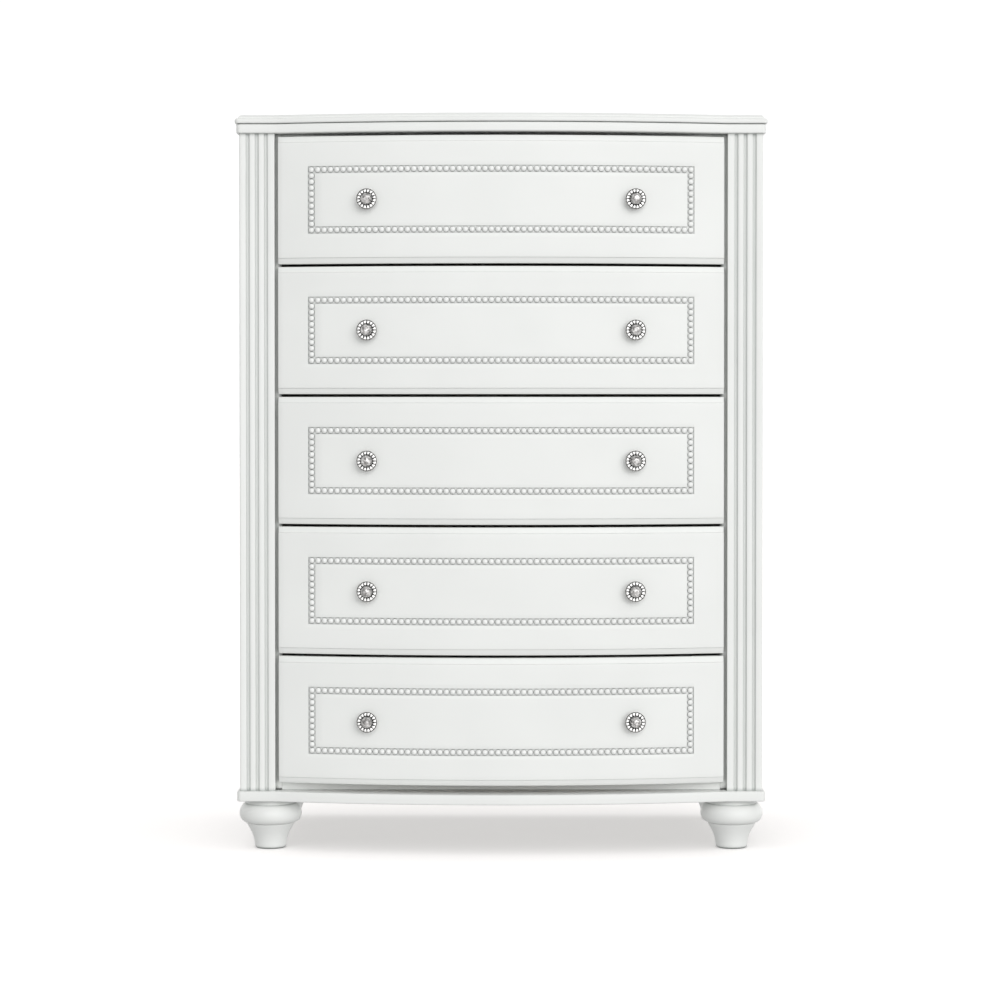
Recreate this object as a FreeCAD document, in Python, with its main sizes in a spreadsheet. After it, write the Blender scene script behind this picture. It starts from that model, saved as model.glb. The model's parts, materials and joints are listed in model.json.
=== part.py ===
import FreeCAD, Part
import math
import os
import Sketcher

# A tall chest of five bow-front drawers, in millimetres. The front faces -Y and Z is up. The origin
# is on the floor, midway between the sides and midway between the knob tips and the back.
# Every size is a cell of the sheet, and a Formula carries a number with the expression that gives it.

SIZES = {
    "case_width": 920,  # over the two pilasters
    "case_depth": 425,  # from the pilaster faces to the back
    "total_height": 1295,
    "top_thickness": 15,
    "top_nose_height": 9,
    "top_nose_round": 4.2,
    "top_field_inset": 6,
    "top_field_bevel": 4,
    "top_side_overhang": 7.6,
    "top_front_overhang": 8.6,
    "moulding_thickness": 17,
    "moulding_side_overhang": 5,
    "moulding_front_overhang": 6,
    "moulding_round": 5,
    "base_thickness": 18,
    "base_side_overhang": 5,
    "base_front_overhang": 8.8,
    "base_round": 2,
    "board_corner_round": 8,
    "pilaster_width": 62,
    "pilaster_corner_round": 2.5,
    "flute_count": 3,
    "flute_pitch": 16,
    "flute_radius": 3.6,
    "flute_lift": 1,  # the flute's centre stands this far in front of the face
    "side_thickness": 16,
    "side_inset": 1.5,  # the side panels sit this far inside the pilasters
    "stile_thickness": 18,
    "stile_show": 11,  # the stile reaches this far past the pilaster
    "stile_foot_gap": 1.8,
    "rail_height": 19.5,
    "back_thickness": 6,
    "bow_rise": 43,
    "drawer_count": 5,
    "drawer_gap": 5,
    "drawer_side_reveal": 6.5,
    "drawer_top_reveal": 6.5,
    "drawer_bottom_reveal": 15,
    "front_thickness": 18,
    "front_proud": 4,
    "front_seat_gap": 1,  # between the backs of the drawer fronts' ends and the stiles
    "front_bevel_height": 10.5,
    "front_bevel_depth": 5,
    "bead_frame_width": 676,
    "bead_frame_height": 117.4,
    "bead_band": 12,
    "bead_channel_depth": 2.4,
    "bead_strip_thickness": 1,
    "bead_strip_clearance": 0.1,
    "box_above_bottom": 25,
    "box_below_top": 33,
    "box_side_thickness": 12,
    "box_back_thickness": 12,
    "box_back_drop": 8,
    "box_rear_space": 50,
    "bottom_thickness": 5,
    "bottom_rise": 12,
    "groove_depth": 5,
    "groove_clearance": 0.2,
    "slide_space": 13,
    "slide_setback": 18,
    "slide_rear_space": 57,
    "slide_wall": 1.5,
    "case_member_height": 45,
    "middle_member_height": 33,
    "drawer_member_height": 20,
    "member_side_gap": 2.2,  # between the outer members and the drawer's side
    "middle_web_gap": 0.9,
    "cleat_height": 50,
    "cleat_rear_space": 20,
    "knob_spread": 232.5,
    "knob_reach": 27,
    "knob_radius": 18,
    "knob_foot_radius": 9,
    "knob_neck_radius": 6,
    "knob_rim_height": 14.5,
    "knob_rim_half": 1.5,
    "knob_bezel_radius": 11,
    "knob_bezel_height": 19,
    "knob_crystal_radius": 9.5,
    "knob_bore_depth": 10,
    "knob_screw_radius": 2,
    "knob_screw_clearance": 0.2,
    "knob_screw_head_radius": 4.2,
    "knob_screw_head_height": 2.5,
    "foot_height": 88.5,
    "foot_side_inset": 50,
    "foot_front_inset": 47,
    "foot_rear_inset": 56,
    "foot_toe_radius": 28,
    "foot_toe_round": 4,
    "foot_flare_radius": 33.3,
    "foot_flare_height": 23.6,
    "foot_crease_radius": 46,
    "foot_crease_height": 46,
    "foot_bun_radius": 55.3,
    "foot_bun_height": 61.5,
    "foot_collar_radius": 46,
    "foot_collar_height": 8.5,
    "foot_bolt_radius": 4,
    "foot_bolt_clearance": 0.2,
    "foot_bolt_below": 35,
    "foot_bolt_above": 20,
    "block_height": 25,
    "block_length": 55,
}

doc = FreeCAD.newDocument("ChestOfDrawers")
sheet = doc.addObject("Spreadsheet::Sheet", "Sizes")
for row, (alias, value) in enumerate(SIZES.items(), start=1):
    sheet.set(f"A{row}", alias)
    sheet.set(f"B{row}", str(value))
    sheet.setAlias(f"B{row}", alias)
doc.recompute()


class Formula:
    """A size: its number, and the expression over the sheet's cells that gives it."""

    def __init__(self, number, text):
        self.number = number
        self.text = text

    def __add__(self, other):
        other = formula(other)
        return Formula(self.number + other.number, f"({self.text} + {other.text})")

    def __sub__(self, other):
        other = formula(other)
        return Formula(self.number - other.number, f"({self.text} - {other.text})")

    def __mul__(self, other):
        other = formula(other)
        return Formula(self.number * other.number, f"({self.text} * {other.text})")

    def __truediv__(self, other):
        other = formula(other)
        return Formula(self.number / other.number, f"({self.text} / {other.text})")

    def __neg__(self):
        return self * -1

    __radd__ = __add__
    __rmul__ = __mul__


def formula(value):
    return value if isinstance(value, Formula) else Formula(value, f"({value})")


def size(alias):
    return Formula(float(sheet.get(alias)), f"Sizes.{alias}")


def root(value):
    return Formula(math.sqrt(value.number), f"sqrt({value.text})")


def arc_radius(half_chord, rise):
    return (half_chord * half_chord + rise * rise) / (rise * 2)


# Where the main pieces meet. Names that end in _x, _y or _z are places, and the rest are sizes.
half_width = size("case_width") / 2
opening_x = half_width - size("pilaster_width")
stile_x = opening_x - size("stile_show")
side_outer_x = half_width - size("side_inset")
side_inner_x = side_outer_x - size("side_thickness")
front_half_width = opening_x - size("drawer_side_reveal")
bow_radius = arc_radius(front_half_width, size("bow_rise"))
back_radius = bow_radius - size("front_thickness")
knob_depth = root(bow_radius * bow_radius - size("knob_spread") * size("knob_spread"))

# The knob tips stand this far in front of the pilaster faces.
bow_axis_behind = bow_radius - size("front_proud") - size("bow_rise")
knob_tips_ahead = knob_depth * (size("knob_reach") / bow_radius + 1) - bow_axis_behind
face_y = (knob_tips_ahead - size("case_depth")) / 2
back_y = face_y + size("case_depth")
bow_axis_y = face_y + bow_axis_behind
stile_y = face_y + size("front_thickness") - size("front_proud") + size("front_seat_gap")
stile_back_y = stile_y + size("stile_thickness")

base_bottom_z = size("foot_height")
base_z = base_bottom_z + size("base_thickness")
top_z = size("total_height") - size("top_thickness")
case_z = top_z - size("moulding_thickness")
case_height = case_z - base_z

drawer_count = int(sheet.get("drawer_count"))
drawer_room = case_height - size("drawer_top_reveal") - size("drawer_bottom_reveal")
front_height = (drawer_room + size("drawer_gap")) / size("drawer_count") - size("drawer_gap")
drawer_pitch = front_height + size("drawer_gap")
lowest_front_z = base_z + size("drawer_bottom_reveal")

box_half_width = stile_x - size("slide_space")
box_bottom = size("box_above_bottom")
box_top = front_height - size("box_below_top")
box_back_y = back_y - size("box_rear_space")
bottom_z = box_bottom + size("bottom_rise")
slide_centre = (box_bottom + box_top) / 2
slide_front_y = face_y + size("slide_setback")
slide_back_y = back_y - size("slide_rear_space")

bolt_hole_radius = size("foot_bolt_radius") + size("foot_bolt_clearance")
foot_x = half_width - size("foot_side_inset")
foot_places = {
    "front_left": (-foot_x, face_y + size("foot_front_inset")),
    "front_right": (foot_x, face_y + size("foot_front_inset")),
    "rear_left": (-foot_x, back_y - size("foot_rear_inset")),
    "rear_right": (foot_x, back_y - size("foot_rear_inset")),
}

subparts = []


def finish(thing, name):
    """Names a sub-part and lists it for writing."""
    thing.Label = name
    subparts.append(thing)
    return thing


def place(thing, x=0, y=0, z=0):
    for axis, value in zip("xyz", (x, y, z)):
        thing.setExpression(f"Placement.Base.{axis}", formula(value).text)
    return thing


def lift(thing, height):
    """Raises a piece by a height above the place it already has."""
    own = {path.lstrip("."): text for path, text in thing.ExpressionEngine}
    held = own.get("Placement.Base.z", "0")
    thing.setExpression("Placement.Base.z", f"({held}) + {height.text}")


def block(name, low, high):
    """A box between two corners."""
    box = doc.addObject("Part::Box", name)
    for side, start, end in zip(("Length", "Width", "Height"), low, high):
        box.setExpression(side, (formula(end) - start).text)
    return place(box, *low)


def mirrored_block(name, side, low, high):
    """A block on the right, where side is 1, or its mirror image on the left, where side is -1."""
    if side < 0:
        low, high = (-formula(high[0]), *low[1:]), (-formula(low[0]), *high[1:])
    return block(name, low, high)


def post(name, radius, x, y, low_z, high_z):
    """An upright cylinder."""
    cylinder = doc.addObject("Part::Cylinder", name)
    cylinder.setExpression("Radius", formula(radius).text)
    cylinder.setExpression("Height", (formula(high_z) - low_z).text)
    return place(cylinder, x, y, low_z)


def cut(name, base, tool):
    result = doc.addObject("Part::Cut", name)
    result.Base = base
    result.Tool = tool
    return result


def common(name, base, tool):
    result = doc.addObject("Part::Common", name)
    result.Base = base
    result.Tool = tool
    return result


def group(name, members):
    """Separate solids that share one sub-part."""
    compound = doc.addObject("Part::Compound", name)
    compound.Links = members
    return compound


def bow_disc(name, radius, low_z, high_z):
    """A disc about the drawer fronts' axis, which bounds pieces that follow the bow."""
    return post(name, radius, 0, bow_axis_y, low_z, high_z)


def bow_shell(name, inner_radius, outer_radius, low_z, high_z):
    outer = bow_disc(f"{name}_outer", outer_radius, low_z, high_z)
    inner = bow_disc(f"{name}_inner", inner_radius, low_z, high_z)
    return cut(name, outer, inner)


def sketch_on(body, plane, name):
    sketch = body.newObject("Sketcher::SketchObject", name)
    role = next(feature for feature in body.Origin.OriginFeatures if feature.Role == plane)
    sketch.AttachmentSupport = (role, [""])
    sketch.MapMode = "FlatFace"
    return sketch


def vector(point):
    return FreeCAD.Vector(formula(point[0]).number, formula(point[1]).number, 0)


def pin_point(sketch, geometry, end, point):
    """Holds one point of the sketch at its two sizes from the origin."""
    for kind, axis, value in zip(("DistanceX", "DistanceY"), (-2, -1), point):
        value = formula(value)
        if value.number == 0:
            sketch.addConstraint(Sketcher.Constraint("PointOnObject", geometry, end, axis))
            continue
        constraint = Sketcher.Constraint(kind, -1, 1, geometry, end, value.number)
        index = sketch.addConstraint(constraint)
        sketch.setExpression(f"Constraints[{index}]", value.text)


def add_side(sketch, start, middle, end):
    """Adds a line, or an arc through middle. Returns which of its ends are the start and the end."""
    if middle is None:
        sketch.addGeometry(Part.LineSegment(vector(start), vector(end)))
        return 1, 2
    first, second, third = vector(start), vector(middle), vector(end)
    centre = Part.Circle(first, second, third).Center
    circle = Part.Circle(centre, FreeCAD.Vector(0, 0, 1), (first - centre).Length)
    angles = [math.atan2(p.y - centre.y, p.x - centre.x) for p in (first, third)]
    turns_left = (second - first).cross(third - second).z > 0
    if turns_left:
        sketch.addGeometry(Part.ArcOfCircle(circle, angles[0], angles[1]))
        return 1, 2
    sketch.addGeometry(Part.ArcOfCircle(circle, angles[1], angles[0]))
    return 2, 1


def outline(sketch, corners, through=None):
    """A closed outline. through gives a point on each side that is an arc, by the side's number."""
    through = through or {}
    count = len(corners)
    ends = []
    for side, start in enumerate(corners):
        ends.append(add_side(sketch, start, through.get(side), corners[(side + 1) % count]))
    for side in range(count):
        after = (side + 1) % count
        joint = Sketcher.Constraint("Coincident", side, ends[side][1], after, ends[after][0])
        sketch.addConstraint(joint)
        pin_point(sketch, side, ends[side][0], corners[side])
    for side, middle in through.items():
        marker = sketch.addGeometry(Part.Point(vector(middle)), True)
        pin_point(sketch, marker, 1, middle)
        sketch.addConstraint(Sketcher.Constraint("PointOnObject", marker, 1, side))


def pad(body, sketch, length):
    feature = body.newObject("PartDesign::Pad", f"{sketch.Name}_pad")
    feature.Profile = sketch
    feature.setExpression("Length", formula(length).text)
    doc.recompute()
    return feature


def edges_where(feature, test):
    """The names of the edges whose middle point passes the test."""
    names = []
    for number, edge in enumerate(feature.Shape.Edges, start=1):
        middle = edge.valueAt((edge.FirstParameter + edge.LastParameter) / 2)
        if test(middle, edge):
            names.append(f"Edge{number}")
    return names


def dress(body, kind, base, test, radius):
    """A fillet or chamfer on the edges that pass the test."""
    feature = body.newObject(f"PartDesign::{kind}", f"{base.Name}_{kind}")
    feature.Base = (base, edges_where(base, test))
    feature.setExpression("Radius" if kind == "Fillet" else "Size", formula(radius).text)
    doc.recompute()
    return feature


def turned(name, plane, corners, through=None):
    """A body turned about its plane's vertical axis."""
    body = doc.addObject("PartDesign::Body", name)
    sketch = sketch_on(body, plane, f"{name}_profile")
    outline(sketch, corners, through)
    revolution = body.newObject("PartDesign::Revolution", f"{name}_turning")
    revolution.Profile = sketch
    revolution.ReferenceAxis = (sketch, ["V_Axis"])
    revolution.Angle = 360
    return body


def bow_outline(sketch, side_overhang, front_overhang, inset=0):
    """A board's plan: flat in front of the pilasters and bowed between them."""
    side_x = half_width + side_overhang - inset
    front_y = face_y - front_overhang + inset
    rear_y = back_y - inset
    corners = [
        (-side_x, rear_y),
        (-side_x, front_y),
        (-opening_x, front_y),
        (opening_x, front_y),
        (side_x, front_y),
        (side_x, rear_y),
    ]
    outline(sketch, corners, {2: (0, front_y - size("bow_rise"))})


def at_front_corner(middle, edge):
    upright = abs(edge.tangentAt(edge.FirstParameter).z) > 0.99
    return upright and middle.y < 0 and abs(middle.x) > half_width.number - 1


def board(name, thickness, overhangs, height):
    """A bowed board with round front corners. Returns its body and last feature."""
    body = doc.addObject("PartDesign::Body", name)
    sketch = sketch_on(body, "XY_Plane", f"{name}_plan")
    bow_outline(sketch, *overhangs)
    slab = pad(body, sketch, thickness)
    rounded = dress(body, "Fillet", slab, at_front_corner, size("board_corner_round"))
    place(body, z=height)
    return body, rounded


def rim_test(*heights):
    """Passes the edges of the front and the sides that lie at one of these heights."""

    def on_rim(middle, edge):
        level = any(abs(middle.z - height) < 1e-3 for height in heights)
        flat = abs(edge.tangentAt(edge.FirstParameter).z) < 0.01
        return level and flat and middle.y < back_y.number - 1

    return on_rim


def make_top_panel():
    overhangs = size("top_side_overhang"), size("top_front_overhang")
    body, slab = board("top_panel", size("top_nose_height"), overhangs, top_z)
    nose = rim_test(0, size("top_nose_height").number)
    slab = dress(body, "Fillet", slab, nose, size("top_nose_round"))
    sketch = sketch_on(body, "XY_Plane", "top_panel_field")
    sketch.setExpression("AttachmentOffset.Base.z", size("top_nose_height").text)
    bow_outline(sketch, *overhangs, inset=size("top_field_inset"))
    field = pad(body, sketch, size("top_thickness") - size("top_nose_height"))
    bevel = rim_test(size("top_thickness").number)
    dress(body, "Chamfer", field, bevel, size("top_field_bevel"))
    finish(body, "top_panel")


def make_top_moulding():
    overhangs = size("moulding_side_overhang"), size("moulding_front_overhang")
    body, slab = board("top_moulding", size("moulding_thickness"), overhangs, case_z)
    dress(body, "Fillet", slab, rim_test(0), size("moulding_round"))
    finish(body, "top_moulding")


def make_base_board():
    overhangs = size("base_side_overhang"), size("base_front_overhang")
    body, slab = board("base_board_slab", size("base_thickness"), overhangs, base_bottom_z)
    edges = rim_test(0, size("base_thickness").number)
    dress(body, "Fillet", slab, edges, size("base_round"))
    holes = bolt_posts("base_board_holes", bolt_hole_radius, base_bottom_z - 1, base_z + 1)
    finish(cut("base_board", body, group("base_board_drill", holes)), "base_board")


def make_pilaster(side, word):
    """A flat pilaster with full-height flutes in its face."""
    body = doc.addObject("PartDesign::Body", f"{word}_pilaster")
    sketch = sketch_on(body, "XY_Plane", f"{word}_pilaster_section")
    near_x = opening_x * side
    far_x = half_width * side
    outline(sketch, [(near_x, face_y), (far_x, face_y), (far_x, stile_y), (near_x, stile_y)])
    shaft = pad(body, sketch, case_height)

    def front_corner(middle, edge):
        upright = abs(edge.tangentAt(edge.FirstParameter).z) > 0.99
        return upright and middle.y < stile_y.number - 1 and abs(middle.x) > half_width.number - 1

    shaft = dress(body, "Fillet", shaft, front_corner, size("pilaster_corner_round"))
    tool = sketch_on(body, "XY_Plane", f"{word}_flute_section")
    first_x = opening_x + size("pilaster_width") / 2
    first_x = first_x - (size("flute_count") - 1) * size("flute_pitch") / 2
    centre = (first_x * side, face_y - size("flute_lift"))
    circle = Part.Circle(vector(centre), FreeCAD.Vector(0, 0, 1), size("flute_radius").number)
    tool.addGeometry(circle)
    pin_point(tool, 0, 3, centre)
    radius = tool.addConstraint(Sketcher.Constraint("Radius", 0, size("flute_radius").number))
    tool.setExpression(f"Constraints[{radius}]", size("flute_radius").text)
    pocket = body.newObject("PartDesign::Pocket", f"{word}_flute")
    pocket.Profile = tool
    pocket.Type = "ThroughAll"
    pocket.Reversed = True
    doc.recompute()
    assert pocket.Shape.Volume < shaft.Shape.Volume - 1, "the flute cuts nothing"
    pattern = body.newObject("PartDesign::LinearPattern", f"{word}_flutes")
    pattern.Originals = [pocket]
    pattern.Direction = (tool, ["H_Axis"])
    pattern.Reversed = side < 0
    pattern.setExpression("Length", ((size("flute_count") - 1) * size("flute_pitch")).text)
    pattern.setExpression("Occurrences", size("flute_count").text)
    body.Tip = pattern
    place(body, z=base_z)
    finish(body, f"{word}_pilaster")


def make_case_side(side, word):
    panel = mirrored_block(
        f"{word}_side_panel", side, (side_inner_x, stile_y, base_z), (side_outer_x, back_y, case_z)
    )
    finish(panel, f"{word}_side_panel")
    stile_z = base_z + size("stile_foot_gap")
    stile = mirrored_block(
        f"{word}_stile", side, (stile_x, stile_y, stile_z), (side_inner_x, stile_back_y, case_z)
    )
    finish(stile, f"{word}_stile")


def make_rails_and_back():
    rail_low = (-stile_x, stile_y, case_z - size("rail_height"))
    finish(block("top_rail", rail_low, (stile_x, stile_back_y, case_z)), "top_rail")
    rail_high = (stile_x, stile_back_y, base_z + size("rail_height"))
    finish(block("bottom_rail", (-stile_x, stile_y, base_z), rail_high), "bottom_rail")
    back_low = (-side_inner_x, back_y - size("back_thickness"), base_z)
    finish(block("back_panel", back_low, (side_inner_x, back_y, case_z)), "back_panel")


def bolt_posts(name, radius, low_z, high_z):
    return [
        post(f"{name}_{word}", radius, x, y, low_z, high_z) for word, (x, y) in foot_places.items()
    ]


def make_foot(word):
    """A turned bun foot on a flared toe, bored from above for its bolt."""
    toe = size("foot_toe_radius")
    toe_round = size("foot_toe_round")
    crease_z = size("foot_crease_height")
    collar_z = size("foot_height") - size("foot_collar_height")
    bore_z = size("foot_height") - size("foot_bolt_below")
    bow = toe_round * (1 - math.sqrt(0.5))
    corners = [
        (0, 0),
        (toe - toe_round, 0),
        (toe, toe_round),
        (size("foot_crease_radius") - 1, crease_z - 1),
        (size("foot_crease_radius"), crease_z),
        (size("foot_collar_radius"), collar_z),
        (size("foot_collar_radius"), size("foot_height")),
        (bolt_hole_radius, size("foot_height")),
        (bolt_hole_radius, bore_z),
        (0, bore_z),
    ]
    through = {
        1: (toe - bow, bow),
        2: (size("foot_flare_radius"), size("foot_flare_height")),
        4: (size("foot_bun_radius"), size("foot_bun_height")),
    }
    foot = turned(f"{word}_foot", "XZ_Plane", corners, through)
    finish(place(foot, *foot_places[word]), f"{word}_foot")


def make_foot_fasteners():
    """The bolts that hold the feet, and the blocks inside the case that they screw into."""
    bolt_low = size("foot_height") - size("foot_bolt_below")
    bolt_high = base_z + size("foot_bolt_above")
    bolts = bolt_posts("foot_bolt", size("foot_bolt_radius"), bolt_low, bolt_high)
    finish(group("foot_bolts", bolts), "foot_bolts")
    blocks = []
    rear_y = back_y - size("back_thickness")
    for side in (-1, 1):
        for end_y in (stile_back_y, rear_y - size("block_length")):
            low = (stile_x, end_y, base_z)
            high = (side_inner_x, end_y + size("block_length"), base_z + size("block_height"))
            blocks.append(mirrored_block(f"corner_block_{len(blocks) + 1}", side, low, high))
    holes = bolt_posts("corner_block_hole", bolt_hole_radius, base_z - 1, bolt_high)
    blank = group("corner_blocks_blank", blocks)
    finish(cut("corner_blocks", blank, group("corner_blocks_drill", holes)), "corner_blocks")


def channel(name, side, web_x, open_x, centre_z, height):
    """A slide member: a channel along Y whose web is at web_x and whose flanges reach open_x."""
    half = size(height) / 2
    wall = size("slide_wall")
    opens_inward = web_x.number > open_x.number
    low_x, high_x = (open_x, web_x) if opens_inward else (web_x, open_x)
    bar_low = (low_x, slide_front_y, centre_z - half)
    outer = mirrored_block(f"{name}_bar", side, bar_low, (high_x, slide_back_y, centre_z + half))
    hollow_low_x = low_x - 1 if opens_inward else low_x + wall
    hollow_high_x = high_x - wall if opens_inward else high_x + 1
    hollow = mirrored_block(
        f"{name}_hollow",
        side,
        (hollow_low_x, slide_front_y - 1, centre_z - half + wall),
        (hollow_high_x, slide_back_y + 1, centre_z + half - wall),
    )
    return cut(name, outer, hollow)


def drawer_z(number):
    """The height of a drawer front's lower edge. Drawer 1 is the top one."""
    return lowest_front_z + drawer_pitch * (size("drawer_count") - number)


def make_slide_supports():
    """The case members of the slides and the cleats that carry them beside each drawer."""
    members, cleats = [], []
    for number in range(1, drawer_count + 1):
        centre_z = drawer_z(number) + slide_centre
        for side in (-1, 1):
            name = f"case_member_{number}_{'left' if side < 0 else 'right'}"
            open_x = box_half_width + size("member_side_gap")
            members.append(channel(name, side, stile_x, open_x, centre_z, "case_member_height"))
            low = (stile_x, stile_back_y, centre_z - size("cleat_height") / 2)
            rear_y = back_y - size("cleat_rear_space")
            high = (side_inner_x, rear_y, centre_z + size("cleat_height") / 2)
            cleats.append(mirrored_block(f"{name}_cleat", side, low, high))
    finish(group("case_slide_members", members), "case_slide_members")
    finish(group("slide_cleats", cleats), "slide_cleats")


def front_blank(name):
    """The bowed panel with its upper and lower bevels, turned about the bow's axis and trimmed."""
    body = doc.addObject("PartDesign::Body", f"{name}_bow")
    sketch = sketch_on(body, "YZ_Plane", f"{name}_section")
    bevel_radius = bow_radius - size("front_bevel_depth")
    bevel = size("front_bevel_height")
    corners = [
        (-back_radius, 0),
        (-bevel_radius, 0),
        (-bow_radius, bevel),
        (-bow_radius, front_height - bevel),
        (-bevel_radius, front_height),
        (-back_radius, front_height),
    ]
    outline(sketch, corners)
    revolution = body.newObject("PartDesign::Revolution", f"{name}_turning")
    revolution.Profile = sketch
    revolution.ReferenceAxis = (sketch, ["V_Axis"])
    revolution.Midplane = True
    reach = Formula(
        math.degrees(math.asin(front_half_width.number / bow_radius.number)),
        f"(asin({front_half_width.text} / {bow_radius.text}) / 1 deg)",
    )
    revolution.setExpression("Angle", (reach * 2 + 4).text)
    place(body, y=bow_axis_y)
    low = (-front_half_width, face_y - size("bow_rise") * 2, -1)
    high = (front_half_width, stile_y + size("bow_rise"), front_height + 1)
    return common(f"{name}_blank", body, block(f"{name}_trim", low, high))


def bead_ring(name, inner_radius, outer_radius, clearance):
    """A rectangular frame bent to the bow, for the channel in the front and the strip in it."""
    half_long = size("bead_frame_width") / 2 - clearance
    half_high = size("bead_frame_height") / 2 - clearance
    band = size("bead_band") - clearance * 2
    middle = front_height / 2
    low_y = face_y - size("bow_rise") * 2
    high_y = face_y + size("bow_rise")
    outer_low = (-half_long, low_y, middle - half_high)
    outer = block(f"{name}_outside", outer_low, (half_long, high_y, middle + half_high))
    inner_long = half_long - band
    inner_high = half_high - band
    inner = block(
        f"{name}_inside",
        (-inner_long, low_y - 1, middle - inner_high),
        (inner_long, high_y + 1, middle + inner_high),
    )
    shell = bow_shell(f"{name}_shell", inner_radius, outer_radius, 0, front_height)
    return common(name, shell, cut(f"{name}_frame", outer, inner))


def knob_turning(name, side, corners, through=None):
    """A piece turned about a knob's axis, which stands square to the bow. Local -Y points outward."""
    piece = turned(name, "XY_Plane", corners, through)
    piece.Placement.Rotation = FreeCAD.Rotation(FreeCAD.Vector(0, 0, 1), 1)
    lean = f"asin({size('knob_spread').text} / {bow_radius.text}) * {side}"
    piece.setExpression("Placement.Rotation.Angle", lean)
    return place(piece, size("knob_spread") * side, bow_axis_y - knob_depth, front_height / 2)


def knob_screw(name, side):
    radius = size("knob_screw_radius")
    head = size("knob_screw_head_radius")
    seat = size("front_thickness")
    end = seat + size("knob_screw_head_height")
    tip = -(size("knob_bore_depth") - size("knob_screw_clearance"))
    corners = [(0, tip), (radius, tip), (radius, seat), (head, seat), (head, end), (0, end)]
    return knob_turning(name, side, corners)


def knob(name, side):
    """A knob with a stem, a broad rosette and a crystal dome in a bezel."""
    rim = size("knob_rim_height")
    half = size("knob_rim_half")
    neck = size("knob_neck_radius")
    bore = size("knob_screw_radius") + size("knob_screw_clearance")
    bezel = size("knob_bezel_height")
    crystal = size("knob_crystal_radius")
    rosette = size("knob_radius")
    corners = [
        (0, -size("knob_bore_depth")),
        (bore, -size("knob_bore_depth")),
        (bore, 0),
        (size("knob_foot_radius"), 0),
        (size("knob_foot_radius"), -half),
        (neck, -half * 2),
        (neck, -(rim - half * 3)),
        (rosette - half, -(rim - half)),
        (rosette - half, -(rim + half)),
        (size("knob_bezel_radius"), -bezel),
        (crystal, -bezel),
        (0, -size("knob_reach")),
    ]
    dome_rise = (size("knob_reach") - bezel) * (1 - math.sqrt(0.5))
    through = {
        7: (rosette, -rim),
        10: (crystal * math.sqrt(0.5), -(size("knob_reach") - dome_rise)),
    }
    return knob_turning(name, side, corners, through)


def make_drawer_front(name):
    """The bowed front, with the channel for its beading, the groove for the bottom and screw holes."""
    blank = front_blank(f"{name}_front")
    floor = bow_radius - size("bead_channel_depth")
    ring = bead_ring(f"{name}_front_channel", floor, bow_radius + 1, formula(0))
    groove_high = bottom_z + size("bottom_thickness") + size("groove_clearance")
    groove_radius = back_radius + size("groove_depth")
    shell_name = f"{name}_front_groove_shell"
    shell = bow_shell(shell_name, back_radius - 1, groove_radius, bottom_z, groove_high)
    groove_x = box_half_width - size("box_side_thickness") + size("groove_depth")
    reach = block(
        f"{name}_front_groove_span",
        (-groove_x, face_y - size("bow_rise") * 2, bottom_z),
        (groove_x, stile_y + size("bow_rise"), groove_high),
    )
    groove = common(f"{name}_front_groove", shell, reach)
    hole = size("knob_screw_radius") + size("knob_screw_clearance")
    depth = size("front_thickness") + 1
    section = [(0, -1), (hole, -1), (hole, depth), (0, depth)]
    holes = [knob_turning(f"{name}_front_hole_{i + 1}", side, section) for i, side in enumerate((-1, 1))]
    tools = group(f"{name}_front_tools", [ring, groove, *holes])
    finish(cut(f"{name}_front", blank, tools), f"{name}_front")


def make_bead_frame(name):
    floor = bow_radius - size("bead_channel_depth")
    outer = floor + size("bead_strip_thickness")
    ring = bead_ring(f"{name}_bead_frame", floor, outer, size("bead_strip_clearance"))
    finish(ring, f"{name}_bead_frame")


def make_knobs(name):
    knobs = [knob(f"{name}_knob_{i + 1}", side) for i, side in enumerate((-1, 1))]
    screws = [knob_screw(f"{name}_knob_screw_{i + 1}", side) for i, side in enumerate((-1, 1))]
    finish(group(f"{name}_knobs", knobs + screws), f"{name}_knobs")


def box_side(name, side):
    """One side of the drawer box: grooved for the bottom, its front end shaped to the bow."""
    inner_x = box_half_width - size("box_side_thickness")
    bar = mirrored_block(
        f"{name}_bar",
        side,
        (inner_x, face_y - size("bow_rise"), box_bottom),
        (box_half_width, box_back_y, box_top),
    )
    shaped = common(f"{name}_shaped", bar, bow_disc(f"{name}_bow", back_radius, box_bottom, box_top))
    groove = mirrored_block(
        f"{name}_groove",
        side,
        (inner_x - 1, face_y - size("bow_rise"), bottom_z),
        (
            inner_x + size("groove_depth"),
            box_back_y + 1,
            bottom_z + size("bottom_thickness") + size("groove_clearance"),
        ),
    )
    return cut(name, shaped, groove)


def make_drawer_box(name):
    sides = [box_side(f"{name}_side_{i + 1}", side) for i, side in enumerate((-1, 1))]
    finish(group(f"{name}_sides", sides), f"{name}_sides")
    inner_x = box_half_width - size("box_side_thickness")
    back_low_z = bottom_z + size("bottom_thickness") + size("groove_clearance")
    back = block(
        f"{name}_back",
        (-inner_x, box_back_y - size("box_back_thickness"), back_low_z),
        (inner_x, box_back_y, box_top - size("box_back_drop")),
    )
    finish(back, f"{name}_back")
    edge_x = inner_x + size("groove_depth") - size("groove_clearance")
    edge_radius = back_radius + size("groove_depth") - size("groove_clearance")
    bottom_top = bottom_z + size("bottom_thickness")
    sheet_low = (-edge_x, face_y - size("bow_rise") * 2, bottom_z)
    panel = block(f"{name}_bottom_sheet", sheet_low, (edge_x, box_back_y, bottom_top))
    disc = bow_disc(f"{name}_bottom_bow", edge_radius, bottom_z, bottom_top)
    finish(common(f"{name}_bottom", panel, disc), f"{name}_bottom")


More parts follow.
